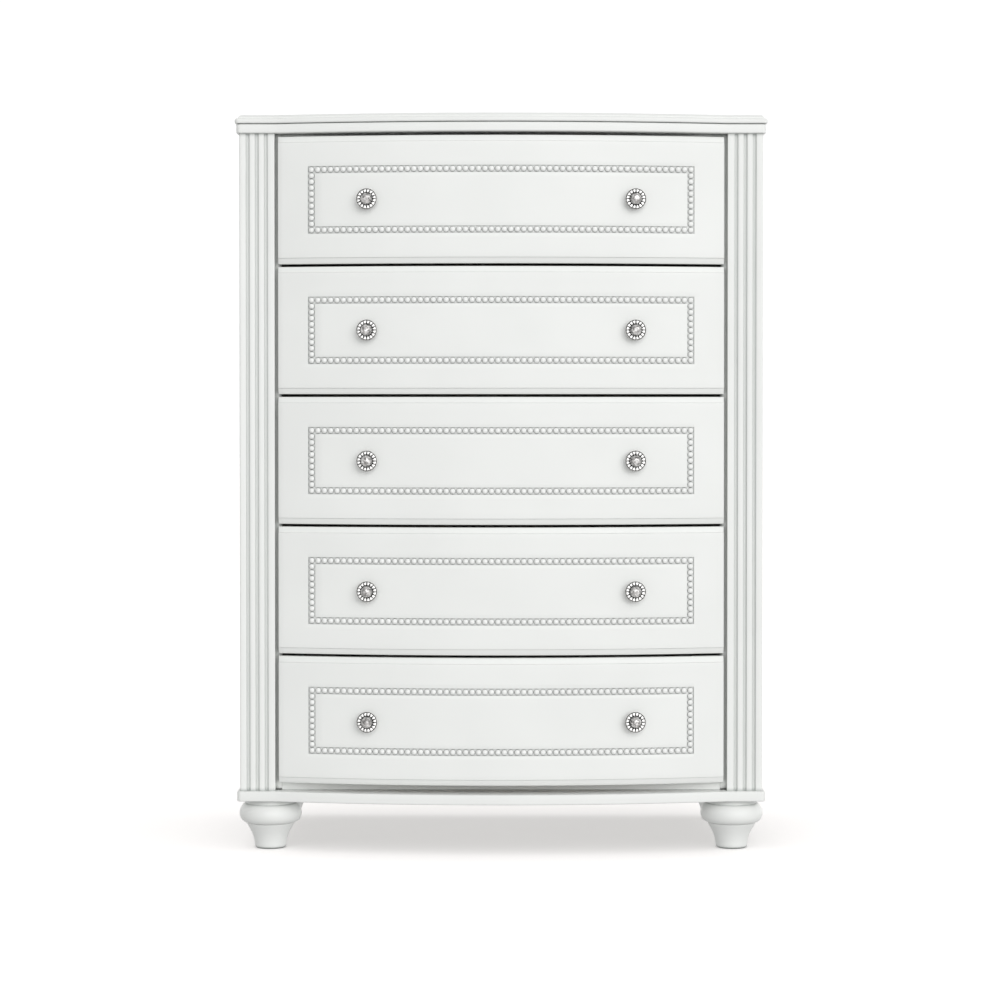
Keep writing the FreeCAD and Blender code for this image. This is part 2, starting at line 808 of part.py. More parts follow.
def make_drawer_slides(name):
    """The members on the drawer, and the middle members that run between them and the case's."""
    inner, middle = [], []
    middle_web = stile_x - size("slide_wall") - size("middle_web_gap")
    middle_open = box_half_width + size("member_side_gap")
    inner_open = box_half_width + size("slide_space") / 2
    for side in (-1, 1):
        word = "left" if side < 0 else "right"
        spans = side, box_half_width, inner_open, slide_centre
        inner.append(channel(f"{name}_member_{word}", *spans, "drawer_member_height"))
        spans = side, middle_web, middle_open, slide_centre
        middle.append(channel(f"{name}_middle_{word}", *spans, "middle_member_height"))
    finish(group(f"{name}_slide_members", inner), f"{name}_slide_members")
    finish(group(f"{name}_middle_members", middle), f"{name}_middle_members")


def make_drawer(number):
    name = f"drawer_{number}"
    before = len(subparts)
    make_drawer_front(name)
    make_bead_frame(name)
    make_knobs(name)
    make_drawer_box(name)
    make_drawer_slides(name)
    for piece in subparts[before:]:
        lift(piece, drawer_z(number))


def make_case():
    make_top_panel()
    make_top_moulding()
    make_base_board()
    for side, word in ((-1, "left"), (1, "right")):
        make_pilaster(side, word)
        make_case_side(side, word)
    make_rails_and_back()
    for word in foot_places:
        make_foot(word)
    make_foot_fasteners()
    make_slide_supports()


def check_document():
    """Stops on anything that failed to build, before a file is written."""
    for thing in doc.Objects:
        bad = {"Invalid", "Error"} & set(thing.State)
        if bad:
            raise RuntimeError(f"{thing.Name} is {', '.join(sorted(bad))}")
    for piece in subparts:
        if piece.Shape.isNull() or not piece.Shape.isValid() or piece.Shape.Volume <= 0:
            raise RuntimeError(f"{piece.Label} has no valid shape")


make_case()
for drawer_number in range(1, drawer_count + 1):
    make_drawer(drawer_number)
doc.recompute()
check_document()
os.makedirs("parts", exist_ok=True)
for subpart in subparts:
    subpart.Shape.exportStep(f"parts/{subpart.Label}.step")
    print(subpart.Label, len(subpart.Shape.Solids), round(subpart.Shape.Volume))
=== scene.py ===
import json
import math

import bmesh
import bpy
from mathutils import Matrix, Vector

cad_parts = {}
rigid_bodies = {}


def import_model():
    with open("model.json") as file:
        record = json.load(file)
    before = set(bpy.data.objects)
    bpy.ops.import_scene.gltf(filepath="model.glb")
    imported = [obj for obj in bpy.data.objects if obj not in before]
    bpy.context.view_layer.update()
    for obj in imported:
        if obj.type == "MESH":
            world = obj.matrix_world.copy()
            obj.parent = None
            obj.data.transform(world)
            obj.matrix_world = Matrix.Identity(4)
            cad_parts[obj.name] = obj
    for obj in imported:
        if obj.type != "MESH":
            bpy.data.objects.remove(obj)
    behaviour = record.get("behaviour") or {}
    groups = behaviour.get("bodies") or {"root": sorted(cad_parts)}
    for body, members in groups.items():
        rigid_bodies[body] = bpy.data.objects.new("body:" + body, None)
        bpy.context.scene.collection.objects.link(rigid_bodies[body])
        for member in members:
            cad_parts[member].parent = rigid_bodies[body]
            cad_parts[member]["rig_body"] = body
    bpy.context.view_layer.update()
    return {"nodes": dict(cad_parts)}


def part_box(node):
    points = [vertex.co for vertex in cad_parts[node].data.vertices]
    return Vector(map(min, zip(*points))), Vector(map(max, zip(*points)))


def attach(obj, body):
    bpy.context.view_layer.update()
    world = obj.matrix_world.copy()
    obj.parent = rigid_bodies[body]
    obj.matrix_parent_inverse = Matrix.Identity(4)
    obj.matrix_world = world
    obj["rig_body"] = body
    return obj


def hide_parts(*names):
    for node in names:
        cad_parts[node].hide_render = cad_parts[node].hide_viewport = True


# The looks of a tall bow-fronted chest of five drawers: satin white paint, a beaded
# frame let into each drawer front, and crystal knobs in pale metal rosettes.
# Everything is in metres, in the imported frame: +X to the right, the front facing -Y, +Z up.

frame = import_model()

MM = 0.001
DRAWERS = range(1, 6)
SIDES = (-1, 1)

# ---------------------------------------------------------------- sizes of the drawer fronts

BOW_RISE = 43 * MM
FRONT_THICKNESS = 18 * MM
BEVEL_HEIGHT = 10.5 * MM
BEVEL_DEPTH = 5 * MM
QUIRK_DEPTH = 1.6 * MM  # the small step where a bevel meets the flat face
FRONT_EASE = 0.5 * MM  # the softened outer arrises of a front
FRONT_COLUMNS = (4, 22)  # between a side and the bead frame, and from there to the middle
FRONT_LEVELS = (4, 5)  # the same from the lower edge up
BEAD_FRAME_WIDTH = 676 * MM
BEAD_FRAME_HEIGHT = 117.4 * MM
BEAD_BAND = 12 * MM
CHANNEL_DEPTH = 2.4 * MM
CHANNEL_WALL = 0.15 * MM  # how far the channel's walls lean
CHANNEL_LIP = 0.35 * MM  # the softened lip along the channel
STRIP_THICKNESS = 1 * MM
BEAD_SINK = 0.05 * MM  # how far a bead sinks into its strip

BEAD_RADIUS = 5.1 * MM
BEAD_RISE = 4.6 * MM
BEADS_ALONG = 60
BEADS_DOWN = 11
BEAD_SEGMENTS = 18
BEAD_RINGS = 6

# ---------------------------------------------------------------- sizes of the knobs

KNOB_SPREAD = 232.5 * MM  # from the middle of the front to a knob's axis
KNOB_SEGMENTS = 192
PETALS = 16
PETAL_INNER = 10.4 * MM
PETAL_OUTER = 17.3 * MM
PETAL_FLOOR = 12.6 * MM  # how far from the face the gaps between petals lie
PETAL_RISE = 3.0 * MM
PETAL_STEPS = 12
PETAL_WIDTH = 0.92  # of the room a petal has, halfway along it
PETAL_FLARE = 0.2  # how much wider its outer end is, and narrower its inner end
PETAL_POWERS = (3.4, 3.2)  # how square its outline is along it and across it
SCREW_SEGMENTS = 32

# (radius, reach) in mm, from the centre of the foot out to the rosette's rim
KNOB_STEM = [
    (2.2, 0.0), (8.6, 0.0), (9.0, 0.4), (9.0, 1.2), (8.6, 1.6), (7.2, 2.2), (6.4, 3.2),
    (6.0, 4.8), (6.0, 8.4), (6.5, 9.6), (8.4, 10.6), (12.0, 11.6), (15.4, 12.5), (17.2, 13.1),
    (17.8, 13.4), (18.0, 13.9), (17.95, 14.5), (17.8, 14.7), (17.6, 14.6), (17.45, 13.8),
    (17.35, 12.6),
]
# from the petals' inner ends up over the thin ring that holds the crystal
KNOB_BEZEL = [
    (10.3, 13.0), (10.2, 13.4), (10.15, 18.4), (10.1, 18.8), (9.95, 18.95), (9.8, 18.8),
    (9.7, 18.4), (9.7, 17.6), (7.0, 17.4), (2.2, 17.4),
]
# (radius, reach, half steps of turn), from the crystal's back forward
CRYSTAL_RINGS = [
    (6.4, 17.6, 0), (9.5, 18.7, 0), (9.7, 20.0, 0), (8.1, 23.4, 1), (5.0, 26.0, 0), (2.6, 26.6, 1),
]
CRYSTAL_SIDES = 10
# (radius, depth past the front's back face) of a screw's shank, head and recess
SCREW = [
    (1.9, 0.0), (4.0, 0.0), (4.2, 0.3), (4.1, 1.4), (3.4, 2.1), (2.3, 2.45), (2.1, 1.2),
]

# ---------------------------------------------------------------- sizes of the case

TOP_OVERHANGS = (7.6 * MM, 8.6 * MM)  # past the pilasters' sides, and past their faces
MOULDING_OVERHANGS = (5 * MM, 6 * MM)
BASE_OVERHANGS = (5 * MM, 8.8 * MM)
BOARD_CORNER = 8 * MM
LEAST_CORNER = 0.2 * MM
BOW_SEGMENTS = 56
CORNER_SEGMENTS = 8
FLUTES = 3
FLUTE_PITCH = 16 * MM
FLUTE_RADIUS = 3.45 * MM
FLUTE_SEGMENTS = 14
FLUTE_EASE = 0.3 * MM  # the softened edges of a flute, across the face
FLUTE_SINK = 0.12 * MM  # and how far they fall
PILASTER_EASE = 0.5 * MM  # the arris beside the drawers
PILASTER_ROUND = 2.5 * MM  # the arris at the side
PILASTER_STEPS = 11
ARRIS_SEGMENTS = 4
FOOT_SEGMENTS = 112

front_low, front_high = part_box("drawer_1_front")
HALF_WIDTH = front_high.x
FRONT_HEIGHT = front_high.z - front_low.z
BOW_RADIUS = (HALF_WIDTH**2 + BOW_RISE**2) / (2 * BOW_RISE)
BOW_AXIS_Y = front_low.y + BOW_RADIUS


def bow_y(x, depth=0.0):
    """The Y of the drawer fronts' face at x, or of a surface that much deeper."""
    return BOW_AXIS_Y - math.sqrt((BOW_RADIUS - depth) ** 2 - x**2)


# ---------------------------------------------------------------- making pieces

WELD_DISTANCE = 0.002 * MM
FLAT_ANGLE = math.radians(0.4)  # faces that meet at less are one flat face
EASED_ANGLE = math.radians(38)  # arrises that turn more are softened
BOX_EASE = 0.8 * MM
CASE_EASE = 0.5 * MM


def make_piece(name, body, made, materials, smooth_angle):
    """Turns a bmesh into a piece that rides on a body and takes its finish from a slot.

    Edges that turn more than smooth_angle, in degrees, are shown sharp.
    """
    bmesh.ops.recalc_face_normals(made, faces=made.faces)
    mesh = bpy.data.meshes.new(name)
    made.to_mesh(mesh)
    made.free()
    for polygon in mesh.polygons:
        polygon.use_smooth = True
    mesh.set_sharp_from_angle(angle=math.radians(smooth_angle))
    for material in materials:
        mesh.materials.append(material)
    piece = bpy.data.objects.new(name, mesh)
    bpy.context.scene.collection.objects.link(piece)
    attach(piece, body)
    return piece


def node_copy(node):
    """A clean bmesh of a CAD node, its flat faces whole again."""
    made = bmesh.new()
    made.from_mesh(frame["nodes"][node].data)
    bmesh.ops.remove_doubles(made, verts=made.verts, dist=WELD_DISTANCE)
    bmesh.ops.dissolve_limit(
        made, angle_limit=FLAT_ANGLE, verts=made.verts, edges=made.edges
    )
    return made


def make_eased(node, material, width):
    """Replaces a CAD node with a copy whose sharp arrises are softly rounded."""
    made = node_copy(node)
    sharp = [
        edge
        for edge in made.edges
        if edge.is_manifold and edge.calc_face_angle() > EASED_ANGLE
    ]
    bmesh.ops.bevel(
        made,
        geom=sharp,
        offset=width,
        segments=2,
        profile=0.5,
        affect="EDGES",
        clamp_overlap=True,
    )
    body = frame["nodes"][node]["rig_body"]
    piece = make_piece(f"{node}_eased", body, made, [material], smooth_angle=32)
    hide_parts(node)


def grid_faces(made, rows, closed=False, material_index=0):
    """Quads between rows of vertices; closed joins each row's end to its start."""
    for low, high in zip(rows, rows[1:]):
        count = len(low)
        for i in range(count if closed else count - 1):
            j = (i + 1) % count
            face = made.faces.new((low[i], low[j], high[j], high[i]))
            face.material_index = material_index


def spread(start, end, count):
    """Count evenly spaced numbers strictly between start and end."""
    return [start + (end - start) * (i + 1) / (count + 1) for i in range(count)]


def rounding(centre_inset, centre_z, radius, start, end, count=5):
    """(inset, z) points of a round on a board's edge, between two angles in degrees."""
    turns = [math.radians(start + (end - start) * i / count) for i in range(count + 1)]
    return [(centre_inset - radius * math.cos(t), centre_z + radius * math.sin(t)) for t in turns]


# ---------------------------------------------------------------- boards, pilasters and feet

# (inset from the rim, height above the board's underside) in mm, from the bottom up
TOP_PROFILE = (
    rounding(2.4, 2.4, 2.4, -88, 0)
    + rounding(4.2, 4.8, 4.2, 0, 78)
    + [(5.8, 9.1), (6.1, 9.5), (6.2, 11.0), (6.6, 11.5), (9.6, 14.6), (10.4, 15.0)]
)
MOULDING_PROFILE = rounding(2.0, 2.0, 2.0, -90, 0) + [
    (0.0, 14.8), (0.2, 15.2), (0.6, 15.3), (6.0, 15.3), (6.0, 17.0),
]
BASE_PROFILE = rounding(2.4, 2.4, 2.4, -90, 0) + rounding(2.4, 15.6, 2.4, 0, 90)

# (radius, height) in mm, from the rim of the underside up
FOOT_PROFILE = [
    (23.6, 0.0), (25.6, 0.35), (27.1, 1.4), (27.9, 2.9), (28.1, 4.4), (28.5, 8.0),
    (29.3, 13.0), (30.5, 18.0), (32.1, 23.0), (34.1, 28.0), (36.6, 33.0), (39.5, 38.0),
    (42.0, 42.4), (43.0, 44.4), (43.1, 45.1), (42.8, 45.6), (43.4, 46.0), (45.3, 46.2),
    (47.8, 47.2), (50.6, 49.4), (53.1, 52.8), (54.7, 57.0), (55.3, 61.5), (54.9, 66.0),
    (53.6, 70.4), (51.4, 74.4), (48.6, 77.6), (46.4, 79.2), (45.2, 79.7), (44.2, 80.2),
    (43.8, 81.2), (43.8, 88.5),
]


def board_loop(overhangs, inset):
    """A bowed board's rim at an inset: from its back left, round the front, to its back right."""
    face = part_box("left_pilaster")[0]
    back_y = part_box("top_panel")[1].y
    opening_x = -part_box("left_pilaster")[1].x
    side_x = -face.x + overhangs[0] - inset
    front_y = face.y - overhangs[1] + inset
    corner = max(BOARD_CORNER - inset, LEAST_CORNER)
    radius = (opening_x**2 + BOW_RISE**2) / (2 * BOW_RISE)
    left = [(-side_x, back_y)]
    for i in range(CORNER_SEGMENTS + 1):
        turn = math.pi / 2 * i / CORNER_SEGMENTS
        x = -side_x + corner * (1 - math.cos(turn))
        left.append((x, front_y + corner * (1 - math.sin(turn))))
    bow = []
    for i in range(BOW_SEGMENTS + 1):
        x = -opening_x + 2 * opening_x * i / BOW_SEGMENTS
        bow.append((x, front_y + radius - BOW_RISE - math.sqrt(radius**2 - x**2)))
    return left + bow + [(-x, y) for x, y in reversed(left)]


def make_board(node, overhangs, profile, material):
    """A bowed board with a moulded rim: the back edge is cut plain."""
    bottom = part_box(node)[0].z
    made = bmesh.new()
    rows = []
    for inset, rise in profile:
        loop = board_loop(overhangs, inset * MM)
        rows.append([made.verts.new((x, y, bottom + rise * MM)) for x, y in loop])
    grid_faces(made, rows, closed=True)
    made.faces.new(rows[0][::-1])
    made.faces.new(rows[-1])
    piece = make_piece(
        f"{node}_moulded", "case", made, [material], smooth_angle=30
    )
    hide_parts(node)


def make_pilaster(side, word, material):
    """A pilaster with round flutes from end to end, its outer arris rounded."""
    low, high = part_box(f"{word}_pilaster")
    middle = (low.x + high.x) / 2
    left, right = PILASTER_ROUND, PILASTER_EASE
    if side > 0:
        left, right = right, left
    turns = [math.pi / 2 * i / ARRIS_SEGMENTS for i in range(ARRIS_SEGMENTS + 1)]
    section = [(low.x, high.y)]
    for turn in turns:
        x = low.x + left * (1 - math.cos(turn))
        section.append((x, low.y + left * (1 - math.sin(turn))))
    for i in range(FLUTES):
        centre = middle + (i - (FLUTES - 1) / 2) * FLUTE_PITCH
        section.append((centre - FLUTE_RADIUS - FLUTE_EASE, low.y))
        for k in range(FLUTE_SEGMENTS + 1):
            turn = math.pi * k / FLUTE_SEGMENTS
            x = centre - FLUTE_RADIUS * math.cos(turn)
            section.append((x, low.y + FLUTE_SINK + FLUTE_RADIUS * math.sin(turn)))
        section.append((centre + FLUTE_RADIUS + FLUTE_EASE, low.y))
    for turn in reversed(turns):
        x = high.x - right * (1 - math.cos(turn))
        section.append((x, low.y + right * (1 - math.sin(turn))))
    section.append((high.x, high.y))
    made = bmesh.new()
    heights = [low.z] + spread(low.z, high.z, PILASTER_STEPS) + [high.z]
    rows = [[made.verts.new((x, y, z)) for x, y in section] for z in heights]
    grid_faces(made, rows, closed=True)
    made.faces.new(rows[0][::-1])
    made.faces.new(rows[-1])
    piece = make_piece(
        f"{word}_fluted_pilaster", "case", made, [material], smooth_angle=40
    )
    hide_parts(f"{word}_pilaster")


def make_foot(word, material):
    """A turned foot: a bun with a crisp crease under it, on a flared toe."""
    low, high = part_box(f"{word}_foot")
    centre = ((low.x + high.x) / 2, (low.y + high.y) / 2)
    made = bmesh.new()
    rings = []
    for radius, height in FOOT_PROFILE:
        ring = []
        for k in range(FOOT_SEGMENTS):
            angle = 2 * math.pi * k / FOOT_SEGMENTS
            x = centre[0] + radius * MM * math.cos(angle)
            y = centre[1] + radius * MM * math.sin(angle)
            ring.append(made.verts.new((x, y, height * MM)))
        rings.append(ring)
    grid_faces(made, rings, closed=True)
    made.faces.new(rings[0][::-1])
    made.faces.new(rings[-1])
    piece = make_piece(
        f"{word}_turned_foot", "case", made, [material], smooth_angle=40
    )
    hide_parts(f"{word}_foot")


# ---------------------------------------------------------------- drawer fronts


def channel_depth(x, z_from_middle):
    """How deep the bead channel is at a point of the face: none outside it."""
    outside = min(
        BEAD_FRAME_WIDTH / 2 - abs(x), BEAD_FRAME_HEIGHT / 2 - abs(z_from_middle)
    )
    inside = max(
        abs(x) - (BEAD_FRAME_WIDTH / 2 - BEAD_BAND),
        abs(z_from_middle) - (BEAD_FRAME_HEIGHT / 2 - BEAD_BAND),
    )
    into = min(outside, inside)
    if into <= -CHANNEL_LIP:
        return 0.0
    if into <= 0:
        return CHANNEL_LIP * (1 + into / CHANNEL_LIP) ** 2
    if into < CHANNEL_WALL:
        return CHANNEL_LIP + (CHANNEL_DEPTH - CHANNEL_LIP) * into / CHANNEL_WALL
    return CHANNEL_DEPTH


def channel_stations(half):
    """Where the face needs vertices to carry the channel's two walls, from outside in."""
    steps = (-CHANNEL_LIP, -CHANNEL_LIP / 2, 0.0, CHANNEL_WALL)
    outer = [half - step for step in steps]
    inner = [half - BEAD_BAND + step for step in reversed(steps)]
    return outer + inner


def bevel_profile():
    """(height above the edge, depth) of the bevel along a front's upper and lower edges."""
    slope = (BEVEL_DEPTH - QUIRK_DEPTH) / BEVEL_HEIGHT
    ease = FRONT_EASE
    return [
        (0.0, BEVEL_DEPTH + ease),
        (ease * 0.3, BEVEL_DEPTH + ease * 0.35),
        (ease, BEVEL_DEPTH - slope * ease),
        (BEVEL_HEIGHT * 0.5, BEVEL_DEPTH - slope * BEVEL_HEIGHT * 0.5),
        (BEVEL_HEIGHT - 0.5 * MM, QUIRK_DEPTH + slope * 0.5 * MM),
        (BEVEL_HEIGHT - 0.2 * MM, QUIRK_DEPTH * 1.15),
        (BEVEL_HEIGHT, QUIRK_DEPTH * 0.3),
        (BEVEL_HEIGHT + 0.25 * MM, QUIRK_DEPTH * 0.06),
        (BEVEL_HEIGHT + 0.7 * MM, 0.0),
    ]


def side_profile():
    """(inset from the end, depth) of the softened ends of a front."""
    ease = FRONT_EASE
    return [(0.0, ease * 1.6), (ease * 0.5, ease * 0.45), (ease * 1.6, 0.0)]


def make_front(number, material):
    """A bowed drawer front: bevelled above and below, with the bead channel let in."""
    name = f"drawer_{number}"
    low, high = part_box(f"{name}_front")
    middle = (low.z + high.z) / 2
    half_x = [(HALF_WIDTH - inset, depth) for inset, depth in side_profile()]
    near_frame = BEAD_FRAME_WIDTH / 2 + 2 * MM
    half_x += [(x, 0.0) for x in spread(half_x[-1][0], near_frame, FRONT_COLUMNS[0])]
    half_x += [(x, 0.0) for x in channel_stations(BEAD_FRAME_WIDTH / 2)]
    half_x += [(x, 0.0) for x in spread(half_x[-1][0], 0.0, FRONT_COLUMNS[1])]
    columns = half_x + [(0.0, 0.0)] + [(-x, depth) for x, depth in reversed(half_x)]
    columns.reverse()
    half_z = [(FRONT_HEIGHT / 2 - rise, depth) for rise, depth in bevel_profile()]
    near_frame = BEAD_FRAME_HEIGHT / 2 + 1 * MM
    half_z += [(z, 0.0) for z in spread(half_z[-1][0], near_frame, FRONT_LEVELS[0])]
    half_z += [(z, 0.0) for z in channel_stations(BEAD_FRAME_HEIGHT / 2)]
    half_z += [(z, 0.0) for z in spread(half_z[-1][0], 0.0, FRONT_LEVELS[1])]
    levels = [(-z, depth) for z, depth in half_z] + [(0.0, 0.0)] + half_z[::-1]

    made = bmesh.new()
    rows = []
    for z, level_depth in levels:
        row = []
        for x, column_depth in columns:
            depth = level_depth + column_depth + channel_depth(x, z)
            row.append(made.verts.new((x, bow_y(x, depth), middle + z)))
        rows.append(row)
    grid_faces(made, rows)

    back_rows = []
    for z, _ in (levels[0], levels[-1]):
        back_rows.append(
            [made.verts.new((x, bow_y(x, FRONT_THICKNESS), middle + z)) for x, _ in columns]
        )
    grid_faces(made, back_rows)
    grid_faces(made, [rows[0], back_rows[0]])
    grid_faces(made, [rows[-1], back_rows[-1]])
    for end in (0, -1):
        made.faces.new([row[end] for row in rows] + [row[end] for row in reversed(back_rows)])
    piece = make_piece(
        f"{name}_bowed_front", name, made, [material], smooth_angle=28
    )
    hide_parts(f"{name}_front")


def bead_places():
    """(x, z from the middle) of every bead round one frame, corners once."""
    half_long = (BEAD_FRAME_WIDTH - BEAD_BAND) / 2
    half_high = (BEAD_FRAME_HEIGHT - BEAD_BAND) / 2
    along = [-half_long + 2 * half_long * i / (BEADS_ALONG - 1) for i in range(BEADS_ALONG)]
    down = [-half_high + 2 * half_high * i / (BEADS_DOWN - 1) for i in range(BEADS_DOWN)]
    places = [(x, side * half_high) for side in SIDES for x in along]
    places += [(side * half_long, z) for side in SIDES for z in down[1:-1]]
    return places


def add_bead(made, x, z, seat_depth):
    """One domed bead standing on the strip, its axis square to the bow."""
    lean = math.asin(x / BOW_RADIUS)
    outward = Vector((math.sin(lean), -math.cos(lean), 0))
    across = Vector((math.cos(lean), math.sin(lean), 0))
    up = Vector((0, 0, 1))
    seat_radius = BOW_RADIUS - seat_depth
    seat = Vector((seat_radius * math.sin(lean), BOW_AXIS_Y - seat_radius * math.cos(lean), z))
    rings = []
    for i in range(BEAD_RINGS):
        turn = math.pi / 2 * i / BEAD_RINGS
        radius = BEAD_RADIUS * math.cos(turn)
        rise = BEAD_RISE * math.sin(turn)
        ring = []
        for k in range(BEAD_SEGMENTS):
            angle = 2 * math.pi * k / BEAD_SEGMENTS
            offset = (across * math.cos(angle) + up * math.sin(angle)) * radius
            ring.append(made.verts.new(seat + offset + outward * rise))
        rings.append(ring)
    grid_faces(made, rings, closed=True)
    top = made.verts.new(seat + outward * BEAD_RISE)
    last = rings[-1]
    for k in range(BEAD_SEGMENTS):
        made.faces.new((last[k], last[(k + 1) % BEAD_SEGMENTS], top))
    made.faces.new(rings[0][::-1])


def make_beading(number, material):
    """The beaded strip that lies in a front's channel."""
    name = f"drawer_{number}"
    low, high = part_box(f"{name}_front")
    middle = (low.z + high.z) / 2
    made = node_copy(f"{name}_bead_frame")
    seat_depth = CHANNEL_DEPTH - STRIP_THICKNESS + BEAD_SINK
    for x, z in bead_places():
        add_bead(made, x, middle + z, seat_depth)
    piece = make_piece(
        f"{name}_beading", name, made, [material], smooth_angle=50
    )
    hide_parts(f"{name}_bead_frame")


# ---------------------------------------------------------------- knobs


def knob_frame(side, z):
    """Turns a knob's own space, its axis along -Y from the face, into the chest's."""
    lean = side * math.asin(KNOB_SPREAD / BOW_RADIUS)
    base = Vector((side * KNOB_SPREAD, bow_y(KNOB_SPREAD), z))
    return Matrix.Translation(base) @ Matrix.Rotation(lean, 4, "Z")


def turned_ring(made, matrix, radius, reach, count, turn=0.0):
    """A ring of vertices round a knob's axis; reach is a number or a function of the angle."""
    ring = []
    for k in range(count):
        angle = 2 * math.pi * k / count + turn
        out = reach(angle) if callable(reach) else reach
        place = Vector((radius * math.cos(angle), -out, radius * math.sin(angle)))
        ring.append(made.verts.new(matrix @ place))
    return ring


def petal_reach(radius):
    """How far the rosette's lobed face stands out at a radius, as a function of the angle."""
    middle = (PETAL_INNER + PETAL_OUTER) / 2
    share = (radius - middle) / ((PETAL_OUTER - PETAL_INNER) / 2)
    along = math.sqrt(max(0.0, 1 - abs(share) ** PETAL_POWERS[0]))
    width = PETAL_WIDTH + PETAL_FLARE * share

    def reach(angle):
        phase = (angle * PETALS / (2 * math.pi)) % 1.0 * 2 - 1
        across = math.sqrt(max(0.0, 1 - abs(phase / width) ** PETAL_POWERS[1]))
        return PETAL_FLOOR + PETAL_RISE * along * across

    return reach


def make_knob_metal(number, bright, dull):
    """Both rosettes of a drawer, with their duller stems and rims, and the screws behind."""
    name = f"drawer_{number}"
    low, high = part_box(f"{name}_front")
    made = bmesh.new()
    for side in SIDES:
        matrix = knob_frame(side, (low.z + high.z) / 2)
        stem = [turned_ring(made, matrix, r * MM, t * MM, KNOB_SEGMENTS) for r, t in KNOB_STEM]
        grid_faces(made, stem, closed=True, material_index=1)
        rings = stem[-1:]
        for i in range(PETAL_STEPS + 1):
            radius = PETAL_OUTER + (PETAL_INNER - PETAL_OUTER) * (i / PETAL_STEPS)
            rings.append(turned_ring(made, matrix, radius, petal_reach(radius), KNOB_SEGMENTS))
        rings += [turned_ring(made, matrix, r * MM, t * MM, KNOB_SEGMENTS) for r, t in KNOB_BEZEL]
        grid_faces(made, rings, closed=True)
        made.faces.new(stem[0])
        made.faces.new(rings[-1][::-1])
        add_screw(made, matrix)
    piece = make_piece(
        f"{name}_rosettes", name, made, [bright, dull], smooth_angle=50
    )
    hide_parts(f"{name}_knobs")


def add_screw(made, matrix):
    """A pan-headed screw from inside the drawer, with a round recess."""
    rings = [turned_ring(made, matrix, SCREW[0][0] * MM, 0.0, SCREW_SEGMENTS)]
    for radius, depth in SCREW:
        reach = -FRONT_THICKNESS - depth * MM
        rings.append(turned_ring(made, matrix, radius * MM, reach, SCREW_SEGMENTS))
    grid_faces(made, rings, closed=True)
    made.faces.new(rings[0])
    made.faces.new(rings[-1][::-1])


def make_crystals(number, crystal):
    """Both faceted crystals of a drawer."""
    name = f"drawer_{number}"
    low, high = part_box(f"{name}_front")
    made = bmesh.new()
    for side in SIDES:
        matrix = knob_frame(side, (low.z + high.z) / 2)
        rings = []
        for radius, reach, turn in CRYSTAL_RINGS:
            step = math.pi / CRYSTAL_SIDES * turn
            rings.append(turned_ring(made, matrix, radius * MM, reach * MM, CRYSTAL_SIDES, step))
        grid_faces(made, rings[:3], closed=True)
        for i, (low_ring, high_ring) in enumerate(zip(rings[2:], rings[3:])):
            for k in range(CRYSTAL_SIDES):
                after = (k + 1) % CRYSTAL_SIDES
                if i % 2 == 0:
                    made.faces.new((low_ring[k], low_ring[after], high_ring[k]))
                    made.faces.new((low_ring[after], high_ring[after], high_ring[k]))
                else:
                    made.faces.new((low_ring[k], low_ring[after], high_ring[after]))
                    made.faces.new((low_ring[k], high_ring[after], high_ring[k]))
        made.faces.new(rings[0][::-1])
        made.faces.new(rings[-1])
    piece = make_piece(
        f"{name}_crystals", name, made, [crystal], smooth_angle=3
    )
    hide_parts(f"{name}_knobs")


# ---------------------------------------------------------------- materials

PAINT_WHITE = (0.838, 0.85, 0.832, 1.0)
PAINT_BEAD = (0.89, 0.90, 0.885, 1.0)
PAINT_RUBBED = (0.76, 0.765, 0.74, 1.0)
# colours of the shade painted into the paint's hollows, from grey to near black
PAINT_SHADE = (0.28, 0.31, 0.295, 1.0)
PAINT_SHADE_DEEP = (0.13, 0.15, 0.14, 1.0)
PAINT_SHADE_DARKEST = (0.05, 0.06, 0.055, 1.0)
PAINT_SPECULAR = 0.3
WOOD_PALE = (0.74, 0.60, 0.41, 1.0)
WOOD_DARK = (0.56, 0.40, 0.235, 1.0)
BACK_GREY = (0.74, 0.725, 0.69, 1.0)
ZINC_PALE = (0.76, 0.77, 0.78, 1.0)
ZINC_DARK = (0.62, 0.63, 0.65, 1.0)
NICKEL_BRIGHT = (0.95, 0.95, 0.94, 1.0)
NICKEL_DULL = (0.46, 0.455, 0.44, 1.0)
# painted shade in the rosettes' hollows
NICKEL_PAINTED_SHADE = (0.01, 0.009, 0.008, 1.0)
# the crystal's grey, with pale painted glints and darker painted refractions
CRYSTAL_PALE = (0.93, 0.915, 0.9, 1.0)
CRYSTAL_GREY = (0.17, 0.162, 0.157, 1.0)
CRYSTAL_DARK = (0.09, 0.085, 0.083, 1.0)
FLOOR_PALE = (0.92, 0.905, 0.90, 1.0)
FLOOR_SHADED = (0.90, 0.885, 0.88, 1.0)
FLOOR_LIGHT = (1.0, 0.975, 0.965, 1.0)
WHITE = (1.0, 1.0, 1.0, 1.0)


def add_node(tree, kind, inputs=None, **settings):
    """A shader node with its settings, its inputs linked from sockets or set to constants."""
    node = tree.nodes.new(kind)
    for key, value in settings.items():
        setattr(node, key, value)
    for key, value in (inputs or {}).items():
        if isinstance(value, bpy.types.NodeSocket):
            tree.links.new(value, node.inputs[key])
        else:
            node.inputs[key].default_value = value
    return node


def new_material(name):
    """(material, node tree, object coordinates, its shader) with nothing linked yet."""
    material = bpy.data.materials.new(name)
    material.use_nodes = True
    tree = material.node_tree
    shader = tree.nodes["Principled BSDF"]
    place = tree.nodes.new("ShaderNodeTexCoord").outputs["Object"]
    return material, tree, place, shader


